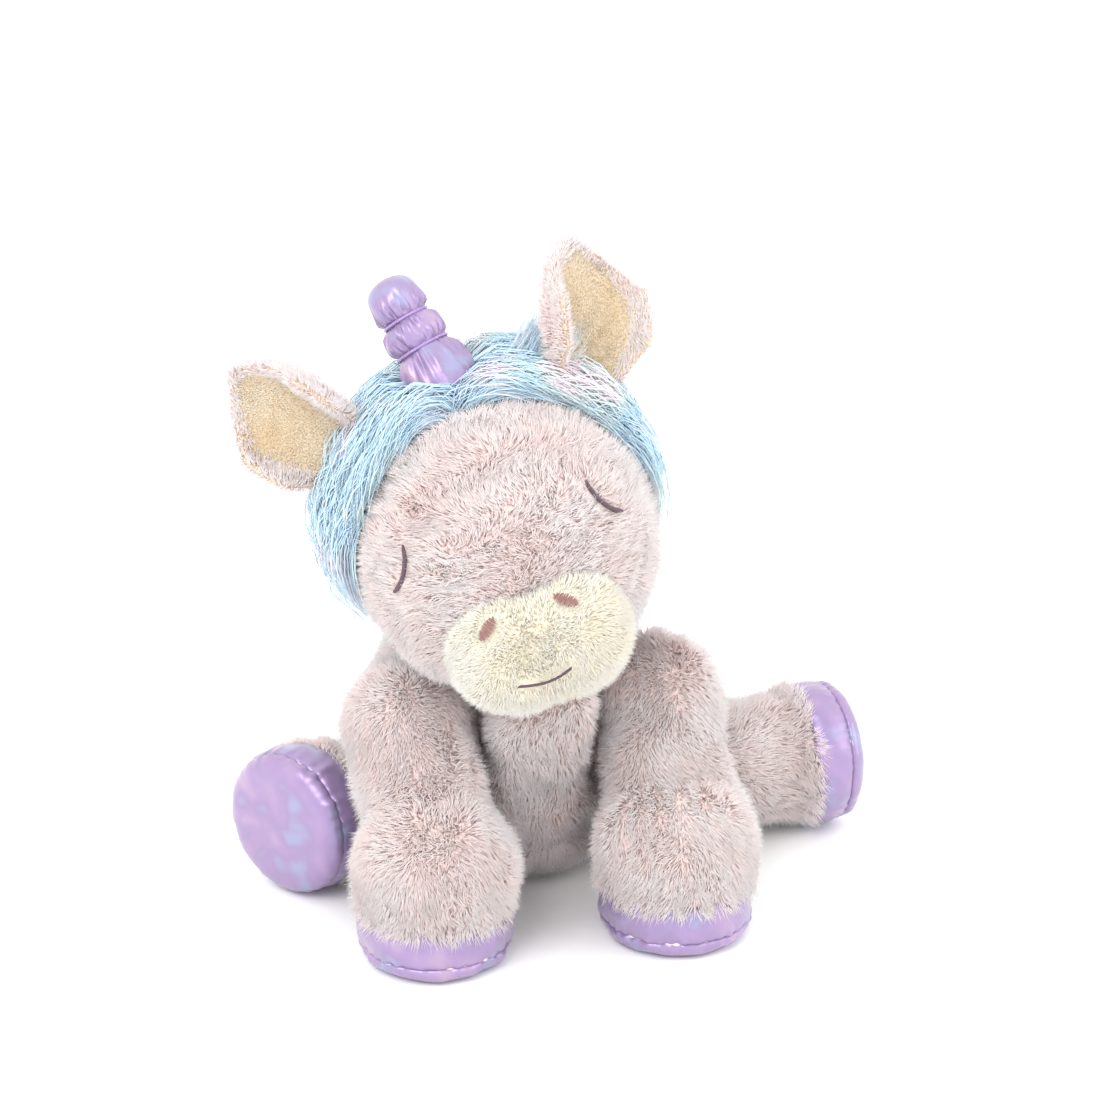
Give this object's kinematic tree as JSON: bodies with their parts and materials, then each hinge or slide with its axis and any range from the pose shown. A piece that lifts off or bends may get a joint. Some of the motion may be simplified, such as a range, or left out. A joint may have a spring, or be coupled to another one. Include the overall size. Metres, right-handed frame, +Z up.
{
  "type": "plush unicorn",
  "caption": "Seated plush unicorn with a tilting head, foil horn and hooves, cupped ears, long-pile mane and swinging legs.",
  "frame": {"origin": "centre of the flat seat, on the surface that the toy sits on", "axes": "+Z up; -Y is the way the body faces; +X is the toy's own left side"},
  "size_m": [0.2755, 0.2691, 0.2747],
  "materials": {
    "pink_pile": "long soft pile, matt",
    "cream_pile": "short soft pile, matt",
    "ear_cream": "short soft pile, matt",
    "long_pile": "long brushed pile, soft sheen",
    "foil": "lilac iridescent foil on knitted cloth, glossy",
    "stuffing": "white polyester fibre",
    "dark_thread": "embroidery thread",
    "brown_thread": "embroidery thread, satin stitch",
    "sewing_thread": "polyester sewing thread"
  },
  "bodies": {
    "body": {"body_cover": "pink_pile", "body_filling": "stuffing", "neck_mane": "long_pile"},
    "neck_seam": {"neck_thread": "sewing_thread"},
    "neck": {"neck_filling": "stuffing"},
    "head": {"head_cover": "pink_pile", "head_filling": "stuffing", "muzzle_panel": "cream_pile", "muzzle_filling": "stuffing", "eye_stitch_right": "dark_thread", "eye_stitch_left": "dark_thread", "nostril_stitches": "brown_thread", "mouth_stitch": "dark_thread", "forelock": "long_pile"},
    "ear_right": {"ear_right_back": "pink_pile", "ear_right_lining": "ear_cream"},
    "ear_left": {"ear_left_back": "pink_pile", "ear_left_lining": "ear_cream"},
    "horn": {"horn_cover": "foil", "horn_filling": "stuffing", "horn_threads": "sewing_thread"},
    "tail": {"tail": "long_pile"},
    "front_right": {"front_right_cover": "pink_pile", "front_right_filling": "stuffing", "front_right_hoof_wall": "foil", "front_right_sole": "foil"},
    "front_left": {"front_left_cover": "pink_pile", "front_left_filling": "stuffing", "front_left_hoof_wall": "foil", "front_left_sole": "foil"},
    "hind_right": {"hind_right_cover": "pink_pile", "hind_right_filling": "stuffing", "hind_right_hoof_wall": "foil", "hind_right_sole": "foil"},
    "hind_left": {"hind_left_cover": "pink_pile", "hind_left_filling": "stuffing", "hind_left_hoof_wall": "foil", "hind_left_sole": "foil"}
  },
  "joints": [
    {"name": "head_turn", "type": "hinge", "parent": "body", "child": "neck_seam", "pos_m": [-0.014, -0.064, 0.163], "axis": [-0.1966, -0.4774, 0.8564], "range_deg": [-25, 25], "stiffness_Nm_per_rad": 1.2},
    {"name": "head_tilt", "type": "hinge", "parent": "neck_seam", "child": "neck", "pos_m": [-0.014, -0.064, 0.163], "axis": [-0.1954, -0.9192, 0.342], "range_deg": [-15, 20], "stiffness_Nm_per_rad": 1.6},
    {"name": "head_nod", "type": "hinge", "parent": "neck", "child": "head", "pos_m": [-0.014, -0.064, 0.163], "axis": [0.9458, -0.0843, 0.3137], "range_deg": [-15, 10], "stiffness_Nm_per_rad": 1.6},
    {"name": "ear_right_flop", "type": "hinge", "parent": "head", "child": "ear_right", "pos_m": [-0.06129, -0.03857, 0.18969], "axis": [-0.1954, -0.9192, 0.342], "range_deg": [-10, 20], "stiffness_Nm_per_rad": 0.02},
    {"name": "ear_left_flop", "type": "hinge", "parent": "head", "child": "ear_left", "pos_m": [0.01997, -0.04835, 0.20984], "axis": [-0.1954, -0.9192, 0.342], "range_deg": [-20, 0], "stiffness_Nm_per_rad": 0.02},
    {"name": "horn_lean", "type": "hinge", "parent": "head", "child": "horn", "pos_m": [-0.03126, -0.04456, 0.21708], "axis": [-0.1954, -0.9192, 0.342], "range_deg": [-15, 15], "stiffness_Nm_per_rad": 0.03},
    {"name": "front_right_swing", "type": "hinge", "parent": "body", "child": "front_right", "pos_m": [-0.052, -0.046, 0.082], "axis": [-1, 0, 0], "range_deg": [0, 30], "stiffness_Nm_per_rad": 0.8},
    {"name": "front_left_swing", "type": "hinge", "parent": "body", "child": "front_left", "pos_m": [0.05, -0.052, 0.088], "axis": [-1, 0, 0], "range_deg": [0, 30], "stiffness_Nm_per_rad": 0.8},
    {"name": "hind_right_swing", "type": "hinge", "parent": "body", "child": "hind_right", "pos_m": [-0.05, -0.012, 0.032], "axis": [0, 0, 1], "range_deg": [-6, 16], "stiffness_Nm_per_rad": 0.6},
    {"name": "hind_left_swing", "type": "hinge", "parent": "body", "child": "hind_left", "pos_m": [0.052, -0.006, 0.032], "axis": [0, 0, -1], "range_deg": [-6, 16], "stiffness_Nm_per_rad": 0.6},
    {"name": "tail_wag", "type": "hinge", "parent": "body", "child": "tail", "pos_m": [0, 0.068, 0.042], "axis": [0, 0, 1], "range_deg": [-20, 20], "stiffness_Nm_per_rad": 0.03}
  ]
}
